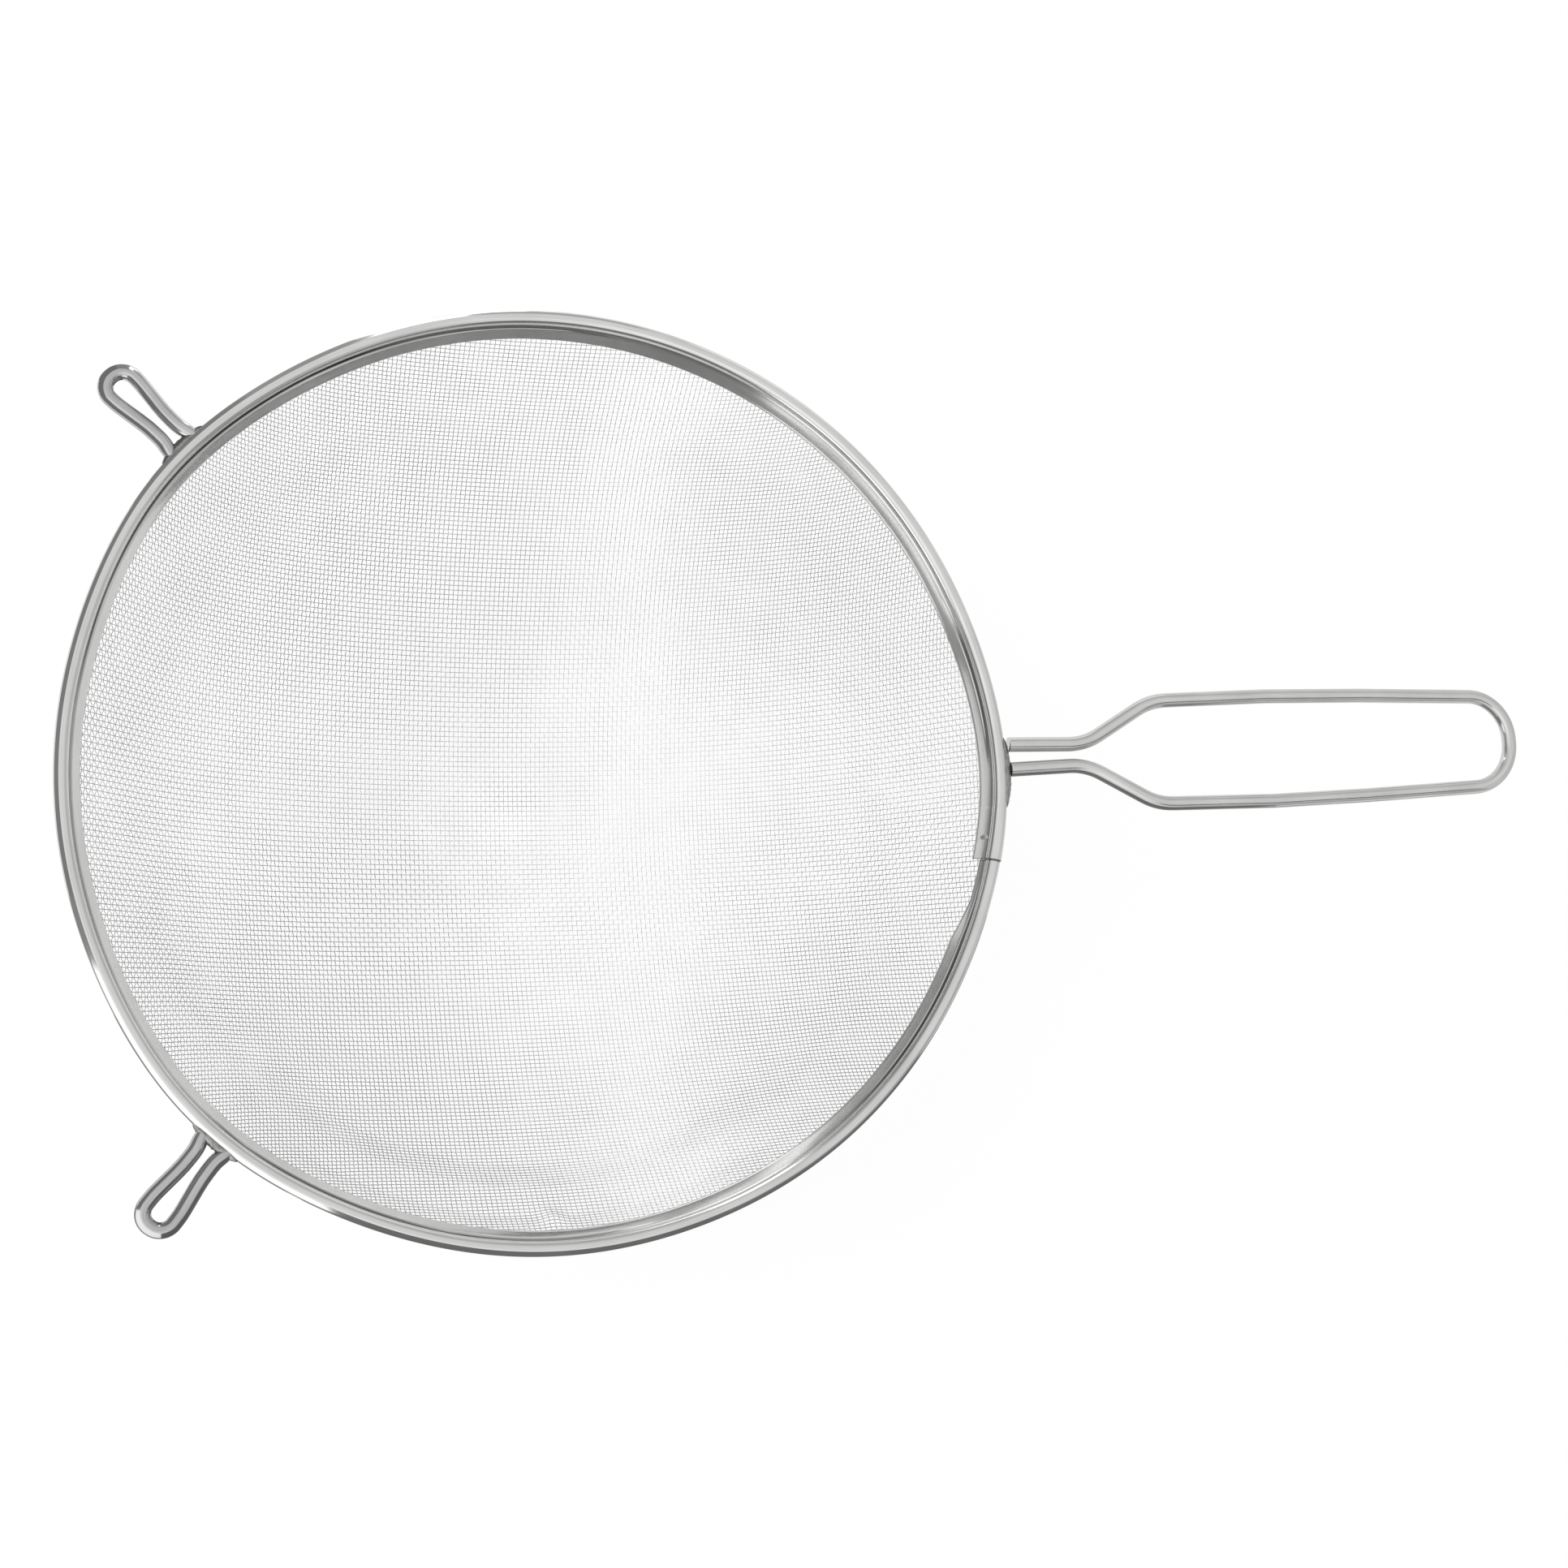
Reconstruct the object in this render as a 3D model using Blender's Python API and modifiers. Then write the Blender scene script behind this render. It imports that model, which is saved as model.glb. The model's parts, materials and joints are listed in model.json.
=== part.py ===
"""Round-bottomed kitchen strainer: a bowl of woven wire mesh in a rolled steel rim, with a bent wire
handle and two wire rest hooks welded to the rim. Metres, +Z up, +X along the handle. The origin is
the middle of the small flat that the bowl stands on, and every piece is one closed solid."""

import math

import bmesh
import bpy
from mathutils import Matrix, Vector

# Rim: a strip rolled over a core wire, with a skirt on each side that clamps the mesh
RIM_DIAMETER = 0.260
BEAD_DIAMETER = 0.0042
STRIP_THICKNESS = 0.0005
INNER_SKIRT = 0.0061
OUTER_SKIRT = 0.0050
NECK_FILLET = 0.0008
SEAM_ANGLE = -13.1
SEAM_SLIT = 0.0004
CORE_DIAMETER = 0.0026

# Bowl: a dome that runs into a straight sloping wall, measured at the middle of the mesh
DOME_RADIUS = 0.1235
WALL_ANGLE = 62.0
FLAT_DEPTH = 0.0005
FLAT_SHAVING = 0.00012
NET_PITCH = 0.0172
NET_TURN = -2.0
CORD_WIDTH = 0.0010
CORD_THICKNESS = 0.00075
SMALLEST_GAP = 0.0030

# Handle: one wire bent into a long loop, given as half widths at distances from the rim
HANDLE_WIRE = 0.0043
HANDLE_LENGTH = 0.1686
HANDLE_ROOT_HALF = 0.0036
HANDLE_NECK_END = 0.0260
HANDLE_NECK_HALF = 0.0031
HANDLE_SHOULDER_END = 0.0474
HANDLE_SHOULDER_HALF = 0.0151
HANDLE_BELLY_END = 0.0850
HANDLE_BELLY_HALF = 0.0160
HANDLE_TIP_HALF = 0.0135
HANDLE_BEND = 0.018

# Rest hooks: two short keyhole loops of wire that sit on the edge of a pot. The ends of the waist and of the
# belly, and the bends, are shares of a hook's length
HOOK_WIRE = 0.0042
HOOK_LENGTH = 0.0290
HOOK_ANGLE = 135.5
HOOK_FOOT_HALF = 0.0052
HOOK_WAIST_START = 0.145
HOOK_WAIST_END = 0.36
HOOK_WAIST_HALF = 0.00295
HOOK_BELLY_END = 0.70
HOOK_TIP_HALF = 0.0043
HOOK_BEND = 0.40

# Welds: flat lenses of metal between the bead and the ends of a wire
WELD_THICKNESS = 0.0009
WELD_HEIGHT = 0.0036
HANDLE_WELD_LENGTH = 0.0205
HANDLE_WELD_ANGLE = -1.0
HOOK_WELD_LENGTH = 0.0150

# What touches keeps this gap
GAP = 0.0003

# Facets
ROUND_STEPS = 72
BEAD_STEPS = 12
CAVITY_STEPS = 9
NECK_STEPS = 2
CORE_SIDES = 8
CUTTER_SIDES = 16
WIRE_SIDES = 4
ARC_STEP = math.radians(14)
HEM_STEP = 0.008

# Sizes that follow from those above
RIM_RADIUS = RIM_DIAMETER / 2
BEAD_RADIUS = BEAD_DIAMETER / 2
BEAD_CIRCLE = RIM_RADIUS - BEAD_RADIUS
SLOPE = math.radians(WALL_ANGLE)
WALL_START = DOME_RADIUS * math.sin(SLOPE)
WALL_FOOT = DOME_RADIUS * (1 - math.cos(SLOPE))
CHANNEL_HALF = CORD_THICKNESS / 2 + GAP
SKIRT_FACE = CHANNEL_HALF + STRIP_THICKNESS
WIRE_SEAT = BEAD_RADIUS + GAP + WELD_THICKNESS + GAP
CUTTER_STEPS = 2 * ROUND_STEPS


def dome_height(radius):
    """Height of the mesh's middle above the lowest point of the whole dome."""
    if radius <= WALL_START:
        return DOME_RADIUS - math.sqrt(DOME_RADIUS**2 - radius**2)
    return WALL_FOOT + (radius - WALL_START) * math.tan(SLOPE)


def dome_slope(radius):
    if radius <= WALL_START:
        return radius / math.sqrt(DOME_RADIUS**2 - radius**2)
    return math.tan(SLOPE)


def radius_along(length):
    """Plan radius of the point that lies that far from the lowest point, measured over the dome."""
    if length <= SLOPE * DOME_RADIUS:
        return DOME_RADIUS * math.sin(length / DOME_RADIUS)
    return WALL_START + (length - SLOPE * DOME_RADIUS) * math.cos(SLOPE)


def bowl_z(radius):
    """The same with the dome's foot pressed flat, and the flat's underside at zero once it is shaved."""
    return max(dome_height(radius), FLAT_DEPTH) - FLAT_DEPTH + CORD_THICKNESS / 2 - FLAT_SHAVING


RIM_Z = bowl_z(BEAD_CIRCLE)


def wall_point(down, outward=0.0):
    """(radius, z) of a point on the rim's section: down the wall from the bead's centre, and out from it."""
    radius = BEAD_CIRCLE - down * math.cos(SLOPE) + outward * math.sin(SLOPE)
    return radius, RIM_Z - down * math.sin(SLOPE) - outward * math.cos(SLOPE)


def clear_scene():
    for obj in list(bpy.data.objects):
        bpy.data.objects.remove(obj, do_unlink=True)
    for collection in list(bpy.data.collections):
        bpy.data.collections.remove(collection)


def new_collection(name, hidden=False):
    collection = bpy.data.collections.new(name)
    collection.hide_render = hidden
    bpy.context.scene.collection.children.link(collection)
    return collection


def steel(name, color, roughness):
    material = bpy.data.materials.new(name)
    material.use_nodes = True
    shader = material.node_tree.nodes["Principled BSDF"]
    shader.inputs["Base Color"].default_value = (*color, 1)
    shader.inputs["Metallic"].default_value = 1
    shader.inputs["Roughness"].default_value = roughness
    return material


def mesh_object(name, bm, collection, material=None):
    bmesh.ops.recalc_face_normals(bm, faces=bm.faces[:])
    mesh = bpy.data.meshes.new(name)
    bm.to_mesh(mesh)
    bm.free()
    mesh.shade_smooth()
    mesh.set_sharp_from_angle(angle=math.radians(40))
    obj = bpy.data.objects.new(name, mesh)
    collection.objects.link(obj)
    if material:
        mesh.materials.append(material)
    return obj


def take_new(name, collection):
    """Names the primitive just added and moves it to the collection."""
    obj = bpy.context.object
    obj.name = name
    for owner in list(obj.users_collection):
        owner.objects.unlink(obj)
    collection.objects.link(obj)
    return obj


def cut(obj, cutter):
    cutter.hide_render = True
    cutter.display_type = "WIRE"
    modifier = obj.modifiers.new("cut", "BOOLEAN")
    modifier.operation = "DIFFERENCE"
    modifier.solver = "EXACT"
    modifier.object = cutter


def filleted_path(corners):
    """Points of a line through the corners, each (x, y, bend radius), with every bend a true arc."""
    points = [Vector(corners[0][:2])]
    for before, corner, after in zip(corners, corners[1:], corners[2:]):
        apex = Vector(corner[:2])
        to_before = (Vector(before[:2]) - apex).normalized()
        to_after = (Vector(after[:2]) - apex).normalized()
        turn = math.pi - to_before.angle(to_after)
        reach = corner[2] * math.tan(turn / 2)
        centre = apex + (to_before + to_after).normalized() * (corner[2] / math.cos(turn / 2))
        arm = apex + to_before * reach - centre
        side = -1 if to_before.cross(to_after) > 0 else 1
        steps = max(1, math.ceil(turn / ARC_STEP))
        for step in range(steps + 1):
            points.append(centre + Matrix.Rotation(side * turn * step / steps, 2) @ arm)
    points.append(Vector(corners[-1][:2]))
    return points


def bent_wire(name, half_corners, diameter, angle, collection, material, seat):
    """A wire loop that is the same on both sides of the radius at the angle, with its ends cut to the rim."""
    other_half = [(x, -y, bend) for x, y, bend in reversed(half_corners)]
    path = filleted_path(half_corners + other_half)
    curve = bpy.data.curves.new(name, "CURVE")
    curve.dimensions = "3D"
    curve.bevel_depth = diameter / 2
    curve.bevel_resolution = WIRE_SIDES
    curve.use_fill_caps = True
    spline = curve.splines.new("POLY")
    spline.points.add(len(path) - 1)
    for point, place in zip(spline.points, path):
        point.co = (place.x, place.y, 0, 1)
    guide = bpy.data.objects.new(name + "_guide", curve)
    collection.objects.link(guide)
    guide.location = (0, 0, RIM_Z)
    guide.rotation_euler = (0, 0, math.radians(angle))
    bpy.context.view_layer.update()
    mesh = bpy.data.meshes.new_from_object(guide.evaluated_get(bpy.context.evaluated_depsgraph_get()))
    bm = bmesh.new()
    bm.from_mesh(mesh)
    bmesh.ops.remove_doubles(bm, verts=bm.verts[:], dist=1e-6)
    wire = mesh_object(name, bm, collection, material)
    wire.matrix_world = guide.matrix_world.copy()
    bpy.data.objects.remove(guide, do_unlink=True)
    bpy.data.meshes.remove(mesh)
    cut(wire, seat)
    return wire


def ring(name, radius, steps, sides, collection):
    """A round wire along the bead's centre line."""
    bpy.ops.mesh.primitive_torus_add(
        major_radius=BEAD_CIRCLE,
        minor_radius=radius,
        major_segments=steps,
        minor_segments=sides,
        location=(0, 0, RIM_Z),
        rotation=(0, 0, math.radians(SEAM_ANGLE)),
    )
    return take_new(name, collection)


def make_worktop(collection):
    """A block with its top at zero, which shaves the bowl's foot flat."""
    bpy.ops.mesh.primitive_cube_add(size=2 * NET_PITCH, location=(0, 0, -NET_PITCH))
    return take_new("worktop", collection)


def section_arc(radius, start, end, steps):
    """Points (down, outward) of an arc round the bead's centre, in the rim's section."""
    angles = [start + (end - start) * step / steps for step in range(steps + 1)]
    return [(radius * math.cos(a), radius * math.sin(a)) for a in angles]


def neck_arc(side):
    """The hollow fillet between the bead and a skirt, from the bead to the skirt."""
    centre_out = SKIRT_FACE + NECK_FILLET
    centre_down = math.sqrt((BEAD_RADIUS + NECK_FILLET) ** 2 - centre_out**2)
    bead_angle = math.atan2(centre_out, centre_down)
    points = []
    for step in range(NECK_STEPS + 1):
        angle = bead_angle + math.pi + (math.pi / 2 - bead_angle) * step / NECK_STEPS
        down = centre_down + NECK_FILLET * math.cos(angle)
        points.append((down, side * (centre_out + NECK_FILLET * math.sin(angle))))
    return points, bead_angle


def rim_section():
    """Closed outline (down, outward) of the rolled strip: inner skirt, bead over the core, outer skirt."""
    inner_end = INNER_SKIRT / math.sin(SLOPE)
    outer_end = OUTER_SKIRT / math.sin(SLOPE)
    outer_neck, bead_angle = neck_arc(1)
    inner_neck, _ = neck_arc(-1)
    bead = section_arc(BEAD_RADIUS, bead_angle, 2 * math.pi - bead_angle, BEAD_STEPS)
    cavity_radius = CORE_DIAMETER / 2 + GAP
    mouth = math.asin(CHANNEL_HALF / cavity_radius)
    cavity = section_arc(cavity_radius, 2 * math.pi - mouth, mouth, CAVITY_STEPS)
    outline = [(outer_end, CHANNEL_HALF), (outer_end, SKIRT_FACE)]
    outline += outer_neck[::-1] + bead[1:-1] + inner_neck
    outline += [(inner_end, -SKIRT_FACE), (inner_end, -CHANNEL_HALF)]
    return outline + cavity


def make_rim_band(collection):
    """The section spun round the bowl, open at the seam by a hairline slit."""
    slit = SEAM_SLIT / RIM_RADIUS
    start = math.radians(SEAM_ANGLE) + slit / 2
    bm = bmesh.new()
    verts = []
    for down, outward in rim_section():
        radius, z = wall_point(down, outward)
        verts.append(bm.verts.new((radius * math.cos(start), radius * math.sin(start), z)))
    face = bm.faces.new(verts)
    bmesh.ops.spin(
        bm,
        geom=[face] + face.verts[:] + face.edges[:],
        cent=(0, 0, 0),
        axis=(0, 0, 1),
        angle=2 * math.pi - slit,
        steps=ROUND_STEPS,
        use_duplicate=False,
    )
    return mesh_object("rim_band", bm, collection, steel("rim_steel", (0.62, 0.62, 0.61), 0.24))


def make_core_wire(collection):
    core = ring("rim_core_wire", CORE_DIAMETER / 2, ROUND_STEPS, CORE_SIDES, collection)
    core.data.shade_smooth()
    core.data.materials.append(steel("core_steel", (0.45, 0.45, 0.45), 0.4))
    return core


def crossing(left, below, corner):
    """The point of the dome one pitch from two neighbouring crossings, across from the corner before them."""
    spot = left + below - corner
    for _ in range(8):
        radius = max(spot.length, 1e-9)
        height = dome_height(radius)
        lean = spot * (dome_slope(radius) / radius)
        rows = []
        misses = []
        for near in (left, below):
            rise = height - dome_height(near.length)
            rows.append(2 * (spot - near + lean * rise))
            misses.append((spot - near).length_squared + rise**2 - NET_PITCH**2)
        spot = spot - Matrix(rows).inverted() @ Vector(misses)
    return spot


def net_quarter(count):
    """Plan positions of the crossings in one quarter. Cords keep their spacing over the dome, as woven wire does
    when a flat sheet is pressed into a bowl, so the gaps stay square on the axes and lean on the diagonals."""
    along = [radius_along(step * NET_PITCH) for step in range(count + 1)]
    spots = {(i, 0): Vector((reach, 0)) for i, reach in enumerate(along)}
    spots.update({(0, j): Vector((0, reach)) for j, reach in enumerate(along)})
    for i in range(1, count + 1):
        for j in range(1, count + 1):
            left, below, corner = spots[i - 1, j], spots[i, j - 1], spots[i - 1, j - 1]
            spots[i, j] = left + below - corner
            if max(left.length, below.length) < BEAD_CIRCLE:
                spots[i, j] = crossing(left, below, corner)
    return spots


def on_circle(vert, radius, z):
    place = Vector((vert.co.x, vert.co.y)).normalized() * radius
    vert.co = (place.x, place.y, z)


def open_enough(face):
    """True where the gap left between the cords is worth opening."""
    if len(face.verts) < 3:
        return False
    longest = max(edge.calc_length() for edge in face.edges)
    return face.calc_area() / longest > SMALLEST_GAP and min(e.calc_length() for e in face.edges) > CORD_WIDTH


def make_mesh_bowl(collection, worktop):
    """An open net of flat cords pressed over the dome, ending in a plain hem that the rim clamps."""
    count = math.ceil((SLOPE * DOME_RADIUS + (BEAD_CIRCLE - WALL_START) / math.cos(SLOPE)) / NET_PITCH) + 1
    spots = net_quarter(count)
    bm = bmesh.new()
    bmesh.ops.create_grid(bm, x_segments=2 * count, y_segments=2 * count, size=count)
    for vert in bm.verts:
        i, j = round(vert.co.x), round(vert.co.y)
        spot = spots[abs(i), abs(j)]
        vert.co = (math.copysign(spot.x, i), math.copysign(spot.y, j), dome_height(spot.length))
    hem_foot = min(INNER_SKIRT, OUTER_SKIRT) / math.sin(SLOPE) - 2 * STRIP_THICKNESS
    hem_radius, hem_z = wall_point(hem_foot)
    lift = RIM_Z - dome_height(BEAD_CIRCLE)
    bmesh.ops.bisect_plane(
        bm,
        geom=bm.verts[:] + bm.edges[:] + bm.faces[:],
        plane_co=(0, 0, hem_z - lift),
        plane_no=(0, 0, 1),
        clear_outer=True,
    )
    edge_verts = [v for v in bm.verts if v.is_boundary]
    bmesh.ops.remove_doubles(bm, verts=edge_verts, dist=SMALLEST_GAP)
    centre = min(bm.verts, key=lambda v: v.co.length)
    bmesh.ops.bisect_edges(bm, edges=centre.link_edges[:], cuts=1)
    for vert in bm.verts:
        if not vert.is_boundary:
            vert.co.z = bowl_z(Vector((vert.co.x, vert.co.y)).length)
    border = [e for e in bm.edges if e.is_boundary]
    long_edges = [e for e in border if e.calc_length() > HEM_STEP]
    bmesh.ops.bisect_edges(bm, edges=long_edges, cuts=1)
    for vert in bm.verts:
        if vert.is_boundary:
            on_circle(vert, hem_radius, hem_z)
    gaps = [face for face in bm.faces if open_enough(face)]
    bmesh.ops.inset_individual(bm, faces=gaps, thickness=CORD_WIDTH / 2, use_even_offset=True)
    bmesh.ops.delete(bm, geom=gaps, context="FACES")
    border = [e for e in bm.edges if e.is_boundary and all(abs(v.co.z - hem_z) < 1e-6 for v in e.verts)]
    grown = bmesh.ops.extrude_edge_only(bm, edges=border)["geom"]
    top_radius, top_z = wall_point(CORE_DIAMETER / 2 + GAP)
    for vert in grown:
        if isinstance(vert, bmesh.types.BMVert):
            on_circle(vert, top_radius, top_z)
    bmesh.ops.rotate(bm, verts=bm.verts[:], cent=(0, 0, 0), matrix=Matrix.Rotation(math.radians(NET_TURN), 3, "Z"))
    print("mesh bowl:", len(gaps), "gaps")
    bowl = mesh_object("mesh_bowl", bm, collection, steel("mesh_steel", (0.60, 0.60, 0.60), 0.30))
    solidify = bowl.modifiers.new("cord thickness", "SOLIDIFY")
    solidify.thickness = CORD_THICKNESS
    solidify.offset = 0
    solidify.use_even_offset = True
    cut(bowl, worktop)
    return bowl


def handle_corners():
    root = RIM_RADIUS
    tip = root + HANDLE_LENGTH - HANDLE_WIRE / 2
    return [
        (BEAD_CIRCLE + BEAD_RADIUS / 2, HANDLE_ROOT_HALF, 0),
        (root + HANDLE_NECK_END, HANDLE_NECK_HALF, HANDLE_BEND),
        (root + HANDLE_SHOULDER_END, HANDLE_SHOULDER_HALF, HANDLE_BEND),
        (root + HANDLE_BELLY_END, HANDLE_BELLY_HALF, 20 * HANDLE_BEND),
        (tip, HANDLE_TIP_HALF, HANDLE_TIP_HALF - HANDLE_WIRE / 20),
    ]


def hook_corners():
    root = RIM_RADIUS
    bend = HOOK_BEND * HOOK_LENGTH
    tip = root + HOOK_LENGTH - HOOK_WIRE / 2
    return [
        (BEAD_CIRCLE + BEAD_RADIUS / 2, HOOK_FOOT_HALF, 0),
        (root + HOOK_WAIST_START * HOOK_LENGTH, HOOK_WAIST_HALF, bend),
        (root + HOOK_WAIST_END * HOOK_LENGTH, HOOK_WAIST_HALF, bend),
        (root + HOOK_BELLY_END * HOOK_LENGTH, HOOK_TIP_HALF, bend),
        (tip, HOOK_TIP_HALF, HOOK_TIP_HALF - HOOK_WIRE / 20),
    ]


def make_weld(name, length, angle, collection, material, clearance):
    """A lens of weld metal on the bead's outer side, hollowed to the bead."""
    bm = bmesh.new()
    bmesh.ops.create_uvsphere(bm, u_segments=16, v_segments=10, radius=0.5)
    thick = 2 * (WIRE_SEAT - GAP - BEAD_RADIUS)
    bmesh.ops.scale(bm, vec=(thick, length, WELD_HEIGHT), verts=bm.verts[:])
    bmesh.ops.translate(bm, vec=(RIM_RADIUS, 0, RIM_Z), verts=bm.verts[:])
    weld = mesh_object(name, bm, collection, material)
    weld.rotation_euler = (0, 0, math.radians(angle))
    cut(weld, clearance)
    return weld


clear_scene()
PIECES = new_collection("mesh_strainer")
CUTTERS = new_collection("cutters", hidden=True)
make_mesh_bowl(PIECES, make_worktop(CUTTERS))
make_rim_band(PIECES)
make_core_wire(PIECES)
BEAD_CLEARANCE = ring("bead_clearance", BEAD_RADIUS + GAP, CUTTER_STEPS, CUTTER_SIDES, CUTTERS)
SEAT = ring("wire_seat", WIRE_SEAT, CUTTER_STEPS, CUTTER_SIDES, CUTTERS)
bent_wire(
    "handle_wire", handle_corners(), HANDLE_WIRE, 0, PIECES, steel("handle_steel", (0.58, 0.58, 0.57), 0.32), SEAT
)
make_weld(
    "handle_weld",
    HANDLE_WELD_LENGTH,
    HANDLE_WELD_ANGLE,
    PIECES,
    steel("handle_weld_steel", (0.36, 0.35, 0.34), 0.45),
    BEAD_CLEARANCE,
)
for side, angle in (("right", HOOK_ANGLE), ("left", -HOOK_ANGLE)):
    bent_wire(
        f"rest_hook_{side}",
        hook_corners(),
        HOOK_WIRE,
        angle,
        PIECES,
        steel(f"hook_{side}_steel", (0.60, 0.60, 0.60), 0.18),
        SEAT,
    )
    make_weld(
        f"rest_hook_weld_{side}",
        HOOK_WELD_LENGTH,
        angle,
        PIECES,
        steel(f"hook_weld_{side}_steel", (0.36, 0.35, 0.34), 0.45),
        BEAD_CLEARANCE,
    )
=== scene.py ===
import json
import math

import bpy
import numpy as np
from mathutils import Matrix, Vector

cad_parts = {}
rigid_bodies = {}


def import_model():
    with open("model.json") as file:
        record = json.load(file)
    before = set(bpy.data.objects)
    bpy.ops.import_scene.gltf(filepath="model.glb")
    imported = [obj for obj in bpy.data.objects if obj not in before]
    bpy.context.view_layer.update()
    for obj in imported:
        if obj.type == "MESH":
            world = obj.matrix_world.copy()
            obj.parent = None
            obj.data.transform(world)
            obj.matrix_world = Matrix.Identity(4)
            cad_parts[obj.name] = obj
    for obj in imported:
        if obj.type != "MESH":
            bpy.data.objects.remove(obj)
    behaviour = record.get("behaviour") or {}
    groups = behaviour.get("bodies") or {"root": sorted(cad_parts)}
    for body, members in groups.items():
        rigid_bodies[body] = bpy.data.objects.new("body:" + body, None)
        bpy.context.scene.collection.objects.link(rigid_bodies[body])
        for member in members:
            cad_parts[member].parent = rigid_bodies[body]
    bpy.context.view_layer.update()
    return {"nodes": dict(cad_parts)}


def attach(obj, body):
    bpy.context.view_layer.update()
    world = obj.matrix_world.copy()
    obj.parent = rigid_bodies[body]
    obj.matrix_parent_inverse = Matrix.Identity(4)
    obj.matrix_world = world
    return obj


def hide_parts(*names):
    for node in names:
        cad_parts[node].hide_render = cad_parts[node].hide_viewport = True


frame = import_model()
print("frame loaded,", len(frame["nodes"]), "nodes")

# Metres and degrees. +X runs along the handle, +Z up out of the bowl, z = 0 is what the bowl stands on.
rimHeight = 0.10074  # middle of the bead
beadCircle = 0.12785  # radius of the bead's centre line


# Camera

view = {
    "lens": 50.3,
    "leanToHandle": 14.96,  # between the bowl's axis and the line of sight
    "leanUp": 7.0,
    "turn": 3.8,  # the handle points this far above level in the picture
    "fromRim": (0.0627, -0.0032, 0.5962),  # right, up and back from the rim's middle, as the camera sees it
}


def placeCamera():
    lens = bpy.data.cameras.new("camera")
    lens.lens = view["lens"]
    lens.sensor_width = 36
    camera = bpy.data.objects.new("camera", lens)
    bpy.context.scene.collection.objects.link(camera)
    turn = (
        Matrix.Rotation(math.radians(-view["turn"]), 4, "Z")
        @ Matrix.Rotation(math.radians(-view["leanToHandle"]), 4, "Y")
        @ Matrix.Rotation(math.radians(view["leanUp"]), 4, "X")
    )
    camera.matrix_world = (
        Matrix.Translation((0, 0, rimHeight)) @ turn @ Matrix.Translation(view["fromRim"])
    )
    bpy.context.scene.camera = camera


placeCamera()
print("camera placed")


# The rim's line

roundness = {
    "slack": -0.00035,
    "pulls": (  # each weld has drawn the rim out: where, over how many degrees, and how far
        (-3.0, 16.0, 0.0016),
        (140.5, 15.0, 0.00165),
        (222.0, 17.0, 0.00185),
        (284.0, 16.0, -0.00042),
    ),
}


def outOfRound(angle):
    # how far the rim stands outside a true circle at each angle
    shift = np.full_like(angle, roundness["slack"])
    for middle, spread, pull in roundness["pulls"]:
        away = (np.degrees(angle) - middle + 180) % 360 - 180
        shift = shift + pull * np.exp(-((away / spread) ** 2))
    return shift


# Meshes out of rings

def ringsAlong(path, up, radius, sides, phase=0.0):
    # one ring of points for each point of the path; up is one vector or one for each point
    heading = np.gradient(path, axis=0)
    heading /= np.linalg.norm(heading, axis=1)[:, None]
    across = np.cross(heading, up)
    across /= np.linalg.norm(across, axis=1)[:, None]
    over = np.cross(across, heading)
    angle = phase + np.arange(sides) * 2 * math.pi / sides
    ring = np.cos(angle)[None, :, None] * over[:, None, :] + np.sin(angle)[None, :, None] * across[:, None, :]
    return path[:, None, :] + np.reshape(radius, (-1, 1, 1)) * ring


def quadsBetween(rings, sides, start=0):
    # faces of a tube whose first point has the number start, without its ends
    ring = np.arange(rings - 1)[:, None] * sides + start
    side = np.arange(sides)[None, :]
    after = (side + 1) % sides
    corners = [ring + side, ring + side + sides, ring + after + sides, ring + after]
    return np.stack(corners, axis=2).reshape(-1, 4)


def newPiece(name, points, faces, cornerUv=None, uvName="along", sharp=None):
    mesh = bpy.data.meshes.new(name)
    mesh.from_pydata(np.asarray(points, dtype=float).reshape(-1, 3).tolist(), [], faces)
    mesh.validate()
    mesh.shade_smooth()
    if cornerUv is not None:
        layer = mesh.uv_layers.new(name=uvName)
        layer.uv.foreach_set("vector", np.asarray(cornerUv, dtype=np.float32).ravel())
    if sharp:
        mesh.set_sharp_from_angle(angle=math.radians(sharp))
    piece = bpy.data.objects.new(name, mesh)
    bpy.context.scene.collection.objects.link(piece)
    return piece


def dress(piece, material, node):
    piece.data.materials.append(material)
    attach(piece, "root")
    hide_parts(node)


# Steels

steelBlend = {
    "streaks": 0.6,  # shares of the streaks and the clouds in a steel's tone and gloss
    "clouds": 0.4,
    "darkFrom": 0.3,  # the blend's values at which the tone is darkest and lightest
    "lightFrom": 0.7,
}


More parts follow.
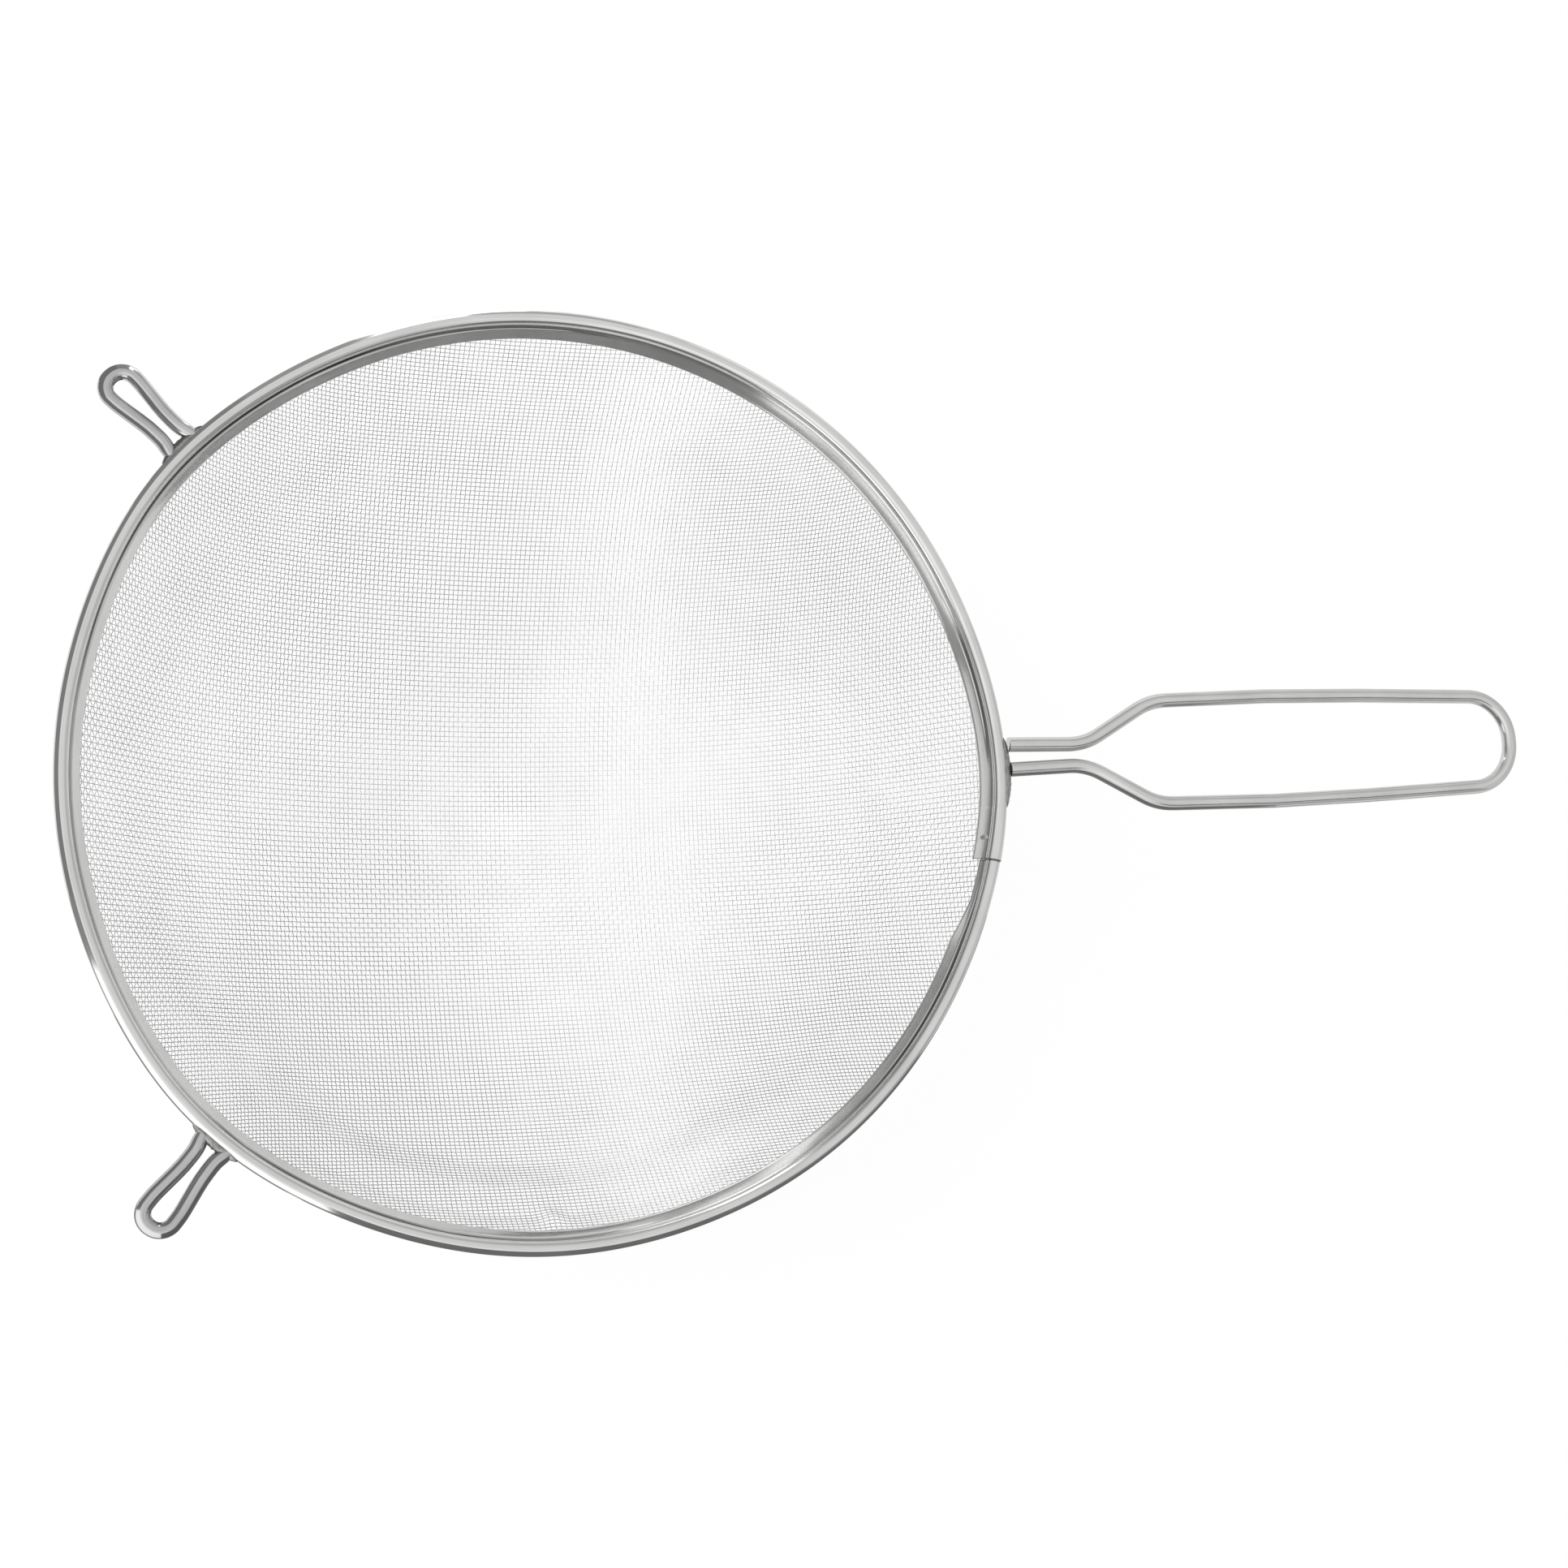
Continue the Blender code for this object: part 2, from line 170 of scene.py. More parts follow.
def steel(name, look):
    # drawn or rolled metal: streaks along the wire or strip, a soft cloudiness, and a fine bump from both
    material = bpy.data.materials.new(name)
    material.use_nodes = True
    nodes, links = material.node_tree.nodes, material.node_tree.links
    shader = nodes["Principled BSDF"]
    shader.inputs["Metallic"].default_value = 1
    place = nodes.new("ShaderNodeTexCoord")
    streakStretch = nodes.new("ShaderNodeMapping")
    streakStretch.inputs["Scale"].default_value = look["streaks"]
    links.new(place.outputs["UV" if look.get("byUv") else "Object"], streakStretch.inputs["Vector"])
    streaks = nodes.new("ShaderNodeTexNoise")
    streaks.inputs["Scale"].default_value = 1
    streaks.inputs["Detail"].default_value = 3
    links.new(streakStretch.outputs["Vector"], streaks.inputs["Vector"])
    clouds = nodes.new("ShaderNodeTexNoise")
    clouds.inputs["Scale"].default_value = look["clouds"]
    clouds.inputs["Detail"].default_value = 4
    links.new(place.outputs["Object"], clouds.inputs["Vector"])
    blend = nodes.new("ShaderNodeMath")
    blend.operation = "MULTIPLY_ADD"
    blend.inputs[1].default_value = steelBlend["streaks"]
    links.new(streaks.outputs["Fac"], blend.inputs[0])
    share = nodes.new("ShaderNodeMath")
    share.operation = "MULTIPLY"
    share.inputs[1].default_value = steelBlend["clouds"]
    links.new(clouds.outputs["Fac"], share.inputs[0])
    links.new(share.outputs["Value"], blend.inputs[2])
    tone = nodes.new("ShaderNodeValToRGB")
    tone.color_ramp.elements[0].position = steelBlend["darkFrom"]
    tone.color_ramp.elements[0].color = (*look["dark"], 1)
    tone.color_ramp.elements[1].position = steelBlend["lightFrom"]
    tone.color_ramp.elements[1].color = (*look["light"], 1)
    links.new(blend.outputs["Value"], tone.inputs["Fac"])
    # an attribute lays a near-black colour over the tone: painted shade in the rim's slit and on the strip's
    # cut ends, partly dirt
    if look.get("shadeAndDirt"):
        shadeAndDirtMask = nodes.new("ShaderNodeAttribute")
        shadeAndDirtMask.attribute_name = "shadeAndDirt"
        shadeAndDirtMix = nodes.new("ShaderNodeMix")
        shadeAndDirtMix.data_type = "RGBA"
        shadeAndDirtMix.inputs[7].default_value = (*look["shadeAndDirt"], 1)
        links.new(shadeAndDirtMask.outputs["Fac"], shadeAndDirtMix.inputs[0])
        links.new(tone.outputs["Color"], shadeAndDirtMix.inputs[6])
        links.new(shadeAndDirtMix.outputs[2], shader.inputs["Base Color"])
    else:
        links.new(tone.outputs["Color"], shader.inputs["Base Color"])
    gloss = nodes.new("ShaderNodeMapRange")
    gloss.inputs["From Min"].default_value = steelBlend["darkFrom"]
    gloss.inputs["From Max"].default_value = steelBlend["lightFrom"]
    gloss.inputs["To Min"].default_value = look["roughness"][0]
    gloss.inputs["To Max"].default_value = look["roughness"][1]
    links.new(blend.outputs["Value"], gloss.inputs["Value"])
    links.new(gloss.outputs["Result"], shader.inputs["Roughness"])
    if look.get("bump"):
        bump = nodes.new("ShaderNodeBump")
        bump.inputs["Strength"].default_value = look["bump"]
        bump.inputs["Distance"].default_value = look["bumpHeight"]
        links.new(blend.outputs["Value"], bump.inputs["Height"])
        links.new(bump.outputs["Normal"], shader.inputs["Normal"])
    return material


wireSteel = steel("woven wire steel", {
    "streaks": (90, 90, 90),
    "clouds": 25,
    "dark": (0.57, 0.57, 0.57),
    "light": (0.79, 0.79, 0.785),
    "roughness": (0.27, 0.38),
})
stripSteel = steel("rolled strip steel", {
    "byUv": True,
    "streaks": (40, 9000, 1),
    "clouds": 60,
    "dark": (0.56, 0.56, 0.555),
    "light": (0.74, 0.74, 0.73),
    "roughness": (0.09, 0.17),
    "bump": 0.03,
    "bumpHeight": 0.00004,
    # near black: painted shade in the slit under the bead and on the strip's cut ends, partly dirt
    "shadeAndDirt": (0.03, 0.03, 0.03),
})
handleSteel = steel("satin handle steel", {
    "byUv": True,
    "streaks": (45, 5200, 1),
    "clouds": 70,
    "dark": (0.52, 0.52, 0.51),
    "light": (0.70, 0.70, 0.69),
    "roughness": (0.12, 0.20),
    "bump": 0.06,
    "bumpHeight": 0.00005,
})
hookSteel = steel("polished hook steel", {
    "byUv": True,
    "streaks": (60, 3000, 1),
    "clouds": 80,
    "dark": (0.40, 0.40, 0.40),
    "light": (0.58, 0.58, 0.58),
    "roughness": (0.11, 0.19),
    "bump": 0.06,
    "bumpHeight": 0.00004,
})
weldSteel = steel("weld metal", {
    "streaks": (700, 700, 700),
    "clouds": 260,
    "dark": (0.18, 0.177, 0.174),
    "light": (0.40, 0.395, 0.39),
    "roughness": (0.20, 0.36),
    "bump": 0.35,
    "bumpHeight": 0.00012,
})
coreSteel = steel("core wire steel", {
    "streaks": (900, 900, 900),
    "clouds": 90,
    "dark": (0.30, 0.30, 0.30),
    "light": (0.46, 0.46, 0.46),
    "roughness": (0.34, 0.46),
    "bump": 0.1,
    "bumpHeight": 0.00005,
})
print("steels mixed")


# The woven bowl

cloth = {
    "domeRadius": 0.1235,
    "wallAngle": 62.0,  # the dome runs into a straight wall of this slope
    "footDepth": 0.0005,  # how far the foot is pressed flat
    "pitchAlong": 0.001438,  # step from one crosswise wire to the next
    "pitchAcross": 0.001563,
    "turn": -2.0,  # the weave sits this far off the handle's line
    "wire": 0.000235,  # the real one is 0.28 to 0.29 mm; thinner here so that the mesh isn't too dark
    "crimps": (0.14, 0.86),  # in wires: lengthwise ones stay nearly straight, crosswise ones climb
    "bite": 0.22,  # half of each wire's rest on a crossing, as a share of the pitch
    "endBite": 0.06,  # and a wire's end lies at least this much past its last rest
    "sides": 4,  # bandOfWires closes each end with one face of four corners
    "loose": 0.085,  # inside this radius the cloth doesn't follow the rim out of round
    "edge": 0.0030,  # the wires end this far below the bead's centre, inside the rim
    "fewest": 4,  # a wire with fewer crossings than this is left out
    "bands": 4,  # each direction of wires is kept in this many meshes
    "kink": 0.0013,  # on one side the wall is bulged out along two lines
    "kinkFrom": (228.0, 240.0),
    "kinkTo": (294.0, 312.0),
    "kinkDepths": (0.0065, 0.0180, 0.0320, 0.0450, 0.0680),  # down from the bead
    "kinkShape": (0.0, 1.0, 0.25, 0.9, 0.0),
    "kinkUneven": 0.15,  # it comes and goes by this share, this many times round the bowl
    "kinkWaves": 7,
    "pucker": -0.0013,  # and a short fold crosses those lines
    "puckerAngle": 268.0,
    "puckerDepth": 0.0165,
    "puckerSize": (0.0032, 0.0045),
}
slope = math.radians(cloth["wallAngle"])
wallStart = cloth["domeRadius"] * math.sin(slope)


def domeHeight(radius):
    onDome = np.minimum(radius, wallStart)
    height = cloth["domeRadius"] - np.sqrt(cloth["domeRadius"] ** 2 - onDome**2)
    return height + np.maximum(radius - wallStart, 0) * math.tan(slope)


def domeSlope(radius):
    onDome = np.minimum(radius, wallStart)
    return onDome / np.sqrt(cloth["domeRadius"] ** 2 - onDome**2)


def radiusAt(length):
    # plan radius of a point that far from the bottom, measured over the cloth
    onDome = np.minimum(length, slope * cloth["domeRadius"])
    return cloth["domeRadius"] * np.sin(onDome / cloth["domeRadius"]) + (length - onDome) * math.cos(slope)


def clothHeight(radius):
    foot = cloth["footDepth"]
    return np.hypot(domeHeight(radius), foot) - foot + cloth["wire"] * (0.5 + max(cloth["crimps"]))


def bulge(x, y, radius):
    # how far use has pushed the cloth out of its smooth form
    angle = np.degrees(np.arctan2(y, x)) % 360
    deep = (beadCircle - radius) / math.cos(slope)
    along = np.clip((angle - cloth["kinkFrom"][0]) / (cloth["kinkFrom"][1] - cloth["kinkFrom"][0]), 0, 1)
    along = along * np.clip((cloth["kinkTo"][1] - angle) / (cloth["kinkTo"][1] - cloth["kinkTo"][0]), 0, 1)
    down = np.interp(deep, cloth["kinkDepths"], cloth["kinkShape"])
    aside = np.radians(angle - cloth["puckerAngle"]) * radius / cloth["puckerSize"][0]
    lower = (deep - cloth["puckerDepth"]) / cloth["puckerSize"][1]
    fold = cloth["pucker"] * np.exp(-(aside**2) - lower**2) * (deep > cloth["kinkDepths"][0])
    uneven = cloth["kinkUneven"]
    strength = (1 - uneven) + uneven * np.sin(np.radians(angle * cloth["kinkWaves"]))
    return cloth["kink"] * along * down * strength + fold


def weaveQuarter(countAlong, countAcross):
    # A woven sheet pressed into a bowl keeps its wires' spacing along each wire and only leans at the
    # crossings, so each crossing lies one pitch from both of its neighbours, over the dome.
    rounds, longestStep, flattest = 7, 0.0005, 1e-12
    spots = np.zeros((countAlong + 1, countAcross + 1, 2))
    spots[:, 0, 0] = radiusAt(np.arange(countAlong + 1) * cloth["pitchAlong"])
    spots[0, :, 1] = radiusAt(np.arange(countAcross + 1) * cloth["pitchAcross"])
    for diagonal in range(2, countAlong + countAcross + 1):
        i = np.arange(max(1, diagonal - countAcross), min(countAlong, diagonal - 1) + 1)
        j = diagonal - i
        left, below = spots[i - 1, j], spots[i, j - 1]
        spot = left + below - spots[i - 1, j - 1]
        for _ in range(rounds):
            radius = np.linalg.norm(spot, axis=1)
            lean = spot * (domeSlope(radius) / radius)[:, None]
            rows, misses = [], []
            for near, pitch in ((left, cloth["pitchAlong"]), (below, cloth["pitchAcross"])):
                rise = domeHeight(radius) - domeHeight(np.linalg.norm(near, axis=1))
                rows.append(2 * (spot - near + lean * rise[:, None]))
                misses.append(((spot - near) ** 2).sum(axis=1) + rise**2 - pitch**2)
            a, b = rows
            area = a[:, 0] * b[:, 1] - a[:, 1] * b[:, 0]
            area = np.where(np.abs(area) < flattest, flattest, area)
            stepX = (misses[0] * b[:, 1] - misses[1] * a[:, 1]) / area
            stepY = (a[:, 0] * misses[1] - b[:, 0] * misses[0]) / area
            spot = spot - np.clip(np.stack([stepX, stepY], axis=1), -longestStep, longestStep)
        spots[i, j] = spot
    return spots


def weaveCrossings():
    # crossings of the whole sheet: their places on the cloth's middle, the cloth's normals, which wire is
    # on top, and how far from the bowl's axis each one was before the rim pulled it
    overTheDome = slope * cloth["domeRadius"] + (beadCircle - wallStart) / math.cos(slope)
    countAlong = math.ceil(overTheDome / cloth["pitchAlong"]) + 2
    countAcross = math.ceil(overTheDome / cloth["pitchAcross"]) + 2
    quarter = weaveQuarter(countAlong, countAcross)
    i = np.arange(-countAlong, countAlong + 1)
    j = np.arange(-countAcross, countAcross + 1)
    flat = quarter[np.abs(i)[:, None], np.abs(j)[None, :]]
    x = flat[:, :, 0] * np.sign(i)[:, None]
    y = flat[:, :, 1] * np.sign(j)[None, :]
    turn = math.radians(cloth["turn"])
    x, y = x * math.cos(turn) - y * math.sin(turn), x * math.sin(turn) + y * math.cos(turn)
    radius = np.hypot(x, y)
    follow = np.clip((radius - cloth["loose"]) / (beadCircle - cloth["loose"]), 0, 1) ** 2
    fromAxis = np.maximum(radius, 1e-9)
    pulled = 1 + outOfRound(np.arctan2(y, x)) * follow / fromAxis
    steep = domeSlope(radius) / fromAxis
    normals = np.stack([-x * steep, -y * steep, np.ones_like(x)], axis=2)
    normals /= np.linalg.norm(normals, axis=2)[:, :, None]
    places = np.stack([x * pulled, y * pulled, clothHeight(radius)], axis=2)
    places -= normals * bulge(x, y, radius)[:, :, None]
    onTop = np.where((i[:, None] + j[None, :]) % 2 == 0, 1.0, -1.0)
    return places, normals, onTop, radius


def wirePaths(places, normals, onTop, radius, crimp):
    # every wire of one direction: it rises over one wire and dips under the next, and lies flat across each
    edge = beadCircle - cloth["edge"] * math.cos(slope)
    bite = cloth["bite"]
    found = []
    for row in range(places.shape[1]):
        inside = np.nonzero(radius[:, row] < edge)[0]
        if len(inside) < cloth["fewest"]:
            continue
        first, last = inside[0], inside[-1]
        place, normal = places[first:last + 1, row], normals[first:last + 1, row]
        before, after = places[first - 1:last, row], places[first + 1:last + 2, row]
        raised = normal * (crimp * onTop[first:last + 1, row])[:, None]
        rests = np.stack([place - bite * (place - before), place + bite * (after - place)], axis=1)
        path = (rests + raised[:, None, :]).reshape(-1, 3)
        ends = []
        for here, there in ((first, first - 1), (last, last + 1)):
            share = (edge - radius[here, row]) / (radius[there, row] - radius[here, row])
            share = max(share, bite + cloth["endBite"])
            ends.append(places[here, row] + share * (places[there, row] - places[here, row]))
        path = np.concatenate([ends[:1], path, ends[1:]])
        up = np.concatenate([normal[:1], np.repeat(normal, 2, axis=0), normal[-1:]])
        found.append((path, up))
    return found


def bandOfWires(name, wires):
    sides = cloth["sides"]
    points, faces, corners = [], [], []
    longest = max(len(path) for path, _ in wires) + 1
    capAcross = np.array([0.0, 0.0, 1.0, 1.0])  # corners of a wire's ends in its strip of the UV map
    capAlong = np.array([0.0, 0.9, 0.9, 0.0])
    start = 0
    for row, (path, up) in enumerate(wires):
        rings = len(path)
        points.append(ringsAlong(path, up, cloth["wire"] / 2, sides, math.pi / 4).reshape(-1, 3))
        faces.append(quadsBetween(rings, sides, start))
        ring = np.repeat(np.arange(rings - 1), sides)
        side = np.tile(np.arange(sides), rings - 1)
        u = np.stack([ring, ring + 1, ring + 1, ring], axis=1) / longest
        v = (row + np.stack([side, side, side + 1, side + 1], axis=1) / sides) / len(wires)
        corners.append(np.stack([u, v], axis=2).reshape(-1, 2))
        final = start + (rings - 1) * sides
        firstEnd = [start + 3, start + 2, start + 1, start]
        lastEnd = [final, final + 1, final + 2, final + 3]
        faces.append(np.array([firstEnd, lastEnd]))
        for at in (0, rings - 1):
            corners.append(np.stack([(at + capAlong) / longest, (row + capAcross) / len(wires)], axis=1))
        start += rings * sides
    cornerUv = np.concatenate(corners)
    piece = newPiece(name, np.concatenate(points), np.concatenate(faces).tolist(), cornerUv, "OFBake")
    dress(piece, wireSteel, "mesh_bowl")


def weaveBowl():
    places, normals, onTop, radius = weaveCrossings()
    low, high = (share * cloth["wire"] for share in cloth["crimps"])
    lengthwise = wirePaths(places, normals, onTop, radius, low)
    crosswise = wirePaths(places.transpose(1, 0, 2), normals.transpose(1, 0, 2), -onTop.T, radius.T, high)
    for name, wires in (("lengthwiseWires", lengthwise), ("crosswiseWires", crosswise)):
        total = np.cumsum([len(path) for path, _ in wires])
        band = np.minimum(total * cloth["bands"] // (total[-1] + 1), cloth["bands"] - 1)
        for number in range(cloth["bands"]):
            chosen = [wire for wire, own in zip(wires, band) if own == number]
            bandOfWires(f"{name}{number + 1}", chosen)
        print(name, len(wires), "wires,", int(total[-1]) * cloth["sides"], "faces")


weaveBowl()


# The rolled rim

rim = {
    "bead": 0.0041,
    "crease": 0.00015,  # radius of the hollow between bead and skirt
    "skirtFace": 0.001175,  # from the cloth's middle to the skirt's face
    "channel": 0.00068,  # half of the slot that holds the cloth
    "innerSkirt": 0.0059,
    "outerSkirt": 0.0050,
    "flare": 0.00028,  # the inner skirt stands this much further off the cloth at its edge
    "flareShape": 1.6,
    "crowding": 1.6,  # of the skirt's points towards the bead
    "strip": 0.0005,
    "corner": 0.00016,  # how round the strip's edges are
    "neck": 0.00006,  # the strip is drawn in this much under the bead
    "neckFade": 0.00030,
    "slit": 0.00050,  # and this much more in a slit, where the roll hasn't closed
    "slitDown": 0.00238,
    "slitWidth": 0.00068,
    "slitStart": 0.43,  # in beads, down from the bead's centre
    "slitPlaces": (  # at which angle, how far to each side, how open; above 1 only its painted shade is wider
        (10.0, 9.0, 0.5),
        (92.0, 12.0, 0.35),
        (137.0, 30.0, 1.15),
        (188.0, 16.0, 0.4),
        (240.0, 15.0, 1.5),
        (264.0, 12.0, 0.45),
        (325.0, 16.0, 0.6),
    ),
    "shadeAndDirtWidth": 0.00058,  # near-black painted shade, partly dirt, fills the slit, and this share of it runs all round
    "shadeAndDirtEverywhere": 0.20,
    "shadeAndDirtAtEnds": 0.85,  # painted shade on the strip's cut ends, in the seam's gap
    "lip": 0.00007,  # the last of the inner skirt turns away from the cloth
    "lipStart": 0.82,
    "backClear": 0.00042,  # the inner skirt's back stays this far from the cloth's middle
    "frontClear": 1.1,  # times that, for its front
    "skirtStart": 0.45,  # in beads, down from the bead's centre
    "cutFrom": 335.5,  # the lower end of the strip is cut narrower, from here to the seam
    "cutTo": 341.0,
    "cutKeeps": 0.42,
    "coreHollow": 0.00155,
    "core": 0.0026,
    "seam": -13.3,  # degrees from the handle
    "seamGap": 0.12,
    "lap": 0.0003,  # the upper end of the strip lies this far over the lower one, and less on top
    "lapOnTop": 0.25,
    "lapFade": 7.0,
    "waves": ((0.00003, 9, 1), (0.00002, 23, 2)),  # the skirts wave a little: how far, how many, from where
    "waveFade": 0.004,
    "spotAngle": -10.4,  # a small dent in the inner skirt, near the seam
    "spotDown": 0.0032,
    "spotSize": (0.0004, 0.0010),
    "spotDepth": 0.00022,
    "spotFront": 1.2,  # what lies further in than this, in half slots, is the skirt's front
    "ringStep": 0.75,  # degrees between rings, and close to the seam
    "seamStep": 0.1,
    "seamReach": 8,
    "steps": {"hollow": 6, "roll": 56, "outer": 12, "inner": 30, "corner": 3, "core": 14},
    "sharp": 35,
}


def wallPoint(angle, down, outward):
    # a place on the rim's section, measured down the wall from the bead's centre and out from it
    radius = beadCircle + outOfRound(angle) - down * math.cos(slope) + outward * math.sin(slope)
    height = rimHeight - down * math.sin(slope) - outward * math.cos(slope)
    return np.stack([radius * np.cos(angle), radius * np.sin(angle), height + 0 * angle], axis=-1)


def arc(radius, start, end, steps):
    angle = np.linspace(start, end, steps + 1)
    return np.stack([radius * np.cos(angle), radius * np.sin(angle)], axis=1)


def rimOutline():
    # (down, outward) round the closed section: outer skirt, bead, inner skirt, then back through the slot
    bead, crease, face, channel = rim["bead"] / 2, rim["crease"], rim["skirtFace"], rim["channel"]
    steps = rim["steps"]
    centreOut = face + crease
    centreDown = math.sqrt((bead + crease) ** 2 - centreOut**2)
    beadAngle = math.atan2(centreOut, centreDown)
    hollow = arc(crease, beadAngle + math.pi, math.pi * 1.5, steps["hollow"]) + (centreDown, centreOut)
    roll = arc(bead, beadAngle, 2 * math.pi - beadAngle, steps["roll"])
    corner, flare, flareShape = rim["corner"], rim["flare"], rim["flareShape"]
    inner = rim["innerSkirt"] / math.sin(slope)
    outer = rim["outerSkirt"] / math.sin(slope)
    outerDown = np.linspace(outer - corner, centreDown, steps["outer"])
    outerRun = np.stack([outerDown, np.full(steps["outer"], face)], axis=1)
    share = np.linspace(0, 1, steps["inner"]) ** rim["crowding"]
    innerDown = centreDown + (inner - corner - centreDown) * share
    necked = rim["neck"] * np.exp(-(((innerDown - centreDown) / rim["neckFade"]) ** 2))
    stands = face + flare * (1 - (1 - share) ** flareShape)
    turned = np.clip((share - rim["lipStart"]) / (1 - rim["lipStart"]), 0, 1)
    stands = stands + rim["lip"] * turned**2
    flare = flare + rim["lip"]
    innerRun = np.stack([innerDown, necked - stands], axis=1)
    innerBack = np.stack([innerDown, np.minimum(rim["strip"] - stands, -rim["backClear"])], axis=1)
    innerBack = innerBack[::-3]  # every third point, from the edge up
    outerLip = arc(corner, 0, math.pi / 2, steps["corner"]) + (outer - corner, face - corner)
    innerLip = arc(corner, -math.pi / 2, 0, steps["corner"]) + (inner - corner, corner - face - flare)
    mouth = math.asin(channel / rim["coreHollow"])
    hollowBack = arc(rim["coreHollow"], 2 * math.pi - mouth, mouth, steps["core"])
    return np.concatenate([
        [(outer, channel)],
        outerLip[:-1],
        outerRun[:-1],
        hollow[::-1],
        roll[1:-1],
        hollow * (1, -1) + (0, rim["neck"]),
        innerRun[1:],
        innerLip[1:],
        [(inner, rim["strip"] - face - flare)],
        innerBack[:-1],
        hollowBack,
    ])


def makeRim():
    outline = rimOutline()
    seam = math.radians(rim["seam"])
    half = rim["seamGap"] / 2
    nearSeam = rim["seam"] + rim["seamReach"]
    fine = np.radians(np.arange(rim["seam"] + half, nearSeam, rim["seamStep"]))
    coarse = np.radians(np.arange(nearSeam, rim["seam"] + 360 - half, rim["ringStep"]))
    angles = np.concatenate([fine, coarse, [seam + math.radians(360 - half)]])
    down, out = outline[:, 0][None, :], outline[:, 1][None, :]
    angle = angles[:, None] + 0 * down
    past = np.degrees(angles - seam)[:, None]
    fade = np.clip(1 - past / rim["lapFade"], 0, 1)
    lift = rim["lap"] * fade**0.5
    spread = np.hypot(down, out) + 1e-9
    rise = np.clip(-(down * math.sin(slope) + out * math.cos(slope)) / spread, 0, 1)
    lift = lift * (1 - (1 - rim["lapOnTop"]) * rise)
    top = rim["bead"] * rim["skirtStart"]
    grownDown = down + np.where(down > top, 0, down / spread * lift)
    grownOut = out + np.where(down > top, np.sign(out) * lift, out / spread * lift)
    cut = np.clip((np.degrees(angle) - rim["cutFrom"]) / (rim["cutTo"] - rim["cutFrom"]), 0, 1)
    kept = 1 - (1 - rim["cutKeeps"]) * cut * (grownOut < 0)
    grownDown = np.where(grownDown > top, top + (grownDown - top) * kept, grownDown)
    opened = np.zeros_like(angle)
    for middle, reach, share in rim["slitPlaces"]:
        opened = opened + share * np.exp(-(((np.degrees(angle) % 360 - middle) / reach) ** 4))
    front = -rim["backClear"] * rim["frontClear"]
    # all but the inner skirt's front counts as a metre away from the slit
    fromSlit = (down - rim["slitDown"]) * (out < front) + (out > front)
    slit = rim["slit"] * np.minimum(opened, 1) * np.exp(-((fromSlit / rim["slitWidth"]) ** 4))
    slit = slit * (down > rim["bead"] * rim["slitStart"])
    grownOut = np.where(grownOut < 0, np.minimum(grownOut + slit, front), grownOut)
    # painted shade, partly dirt: darkest in the slit, a little all round it, and on the strip's cut ends
    shadeAndDirt = np.exp(-((fromSlit / rim["shadeAndDirtWidth"] / np.maximum(opened, 1)) ** 4))
    shadeAndDirt = shadeAndDirt * np.clip(opened + rim["shadeAndDirtEverywhere"], 0, 1)
    shadeAndDirt[[0, -1]] = rim["shadeAndDirtAtEnds"]
    wave = sum(height * np.sin(angle * count + shift) for height, count, shift in rim["waves"])
    grownOut = grownOut + wave * np.clip(down / rim["waveFade"], 0, 1)
    along = (angle - math.radians(rim["spotAngle"])) * beadCircle
    aside, lower = along / rim["spotSize"][0], (down - rim["spotDown"]) / rim["spotSize"][1]
    dimple = np.exp(-(aside**2) - lower**2)
    grownOut = grownOut + rim["spotDepth"] * dimple * (out < -rim["channel"] * rim["spotFront"])
    points = wallPoint(angle, grownDown, grownOut)
    rings, around = len(angles), len(outline)
    faces = quadsBetween(rings, around).tolist()
    faces.append(list(range(around - 1, -1, -1)))
    faces.append([(rings - 1) * around + k for k in range(around)])
    sidesLong = np.linalg.norm(np.diff(np.vstack([outline, outline[:1]]), axis=0), axis=1)
    trace = np.concatenate([[0], np.cumsum(sidesLong)])
    ring = np.repeat(np.arange(rings - 1), around)
    side = np.tile(np.arange(around), rings - 1)
    run = angles * beadCircle
    u = np.stack([run[ring], run[ring + 1], run[ring + 1], run[ring]], axis=1)
    v = np.stack([trace[side], trace[side], trace[side + 1], trace[side + 1]], axis=1)
    uv = np.stack([u, v], axis=2).reshape(-1, 2)
    ends = np.concatenate([outline[::-1], outline])
    piece = newPiece("rimBand", points, faces, np.concatenate([uv, ends]), sharp=rim["sharp"])
    # the painted shade goes to the strip's material in this attribute
    shadeAndDirtLayer = piece.data.attributes.new("shadeAndDirt", "FLOAT", "POINT")
    shadeAndDirtLayer.data.foreach_set("value", shadeAndDirt.astype(np.float32).ravel())
    dress(piece, stripSteel, "rim_band")
    print("rim rolled,", len(faces), "faces")


def makeCoreWire():
    # the wire that the strip is rolled over, seen only at the seam
    steps, sides = 360, 20
    angle = np.arange(steps) * 2 * math.pi / steps
    section = np.arange(sides) * 2 * math.pi / sides
    radius = beadCircle + outOfRound(angle)[:, None] + rim["core"] / 2 * np.cos(section)[None, :]
    height = rimHeight + rim["core"] / 2 * np.sin(section)[None, :] + 0 * radius
    points = np.stack([radius * np.cos(angle)[:, None], radius * np.sin(angle)[:, None], height], axis=2)
    faces = quadsBetween(steps + 1, sides) % (steps * sides)
    dress(newPiece("coreWire", points, faces.tolist()), coreSteel, "rim_core_wire")


makeRim()
makeCoreWire()


# Handle and rest hooks

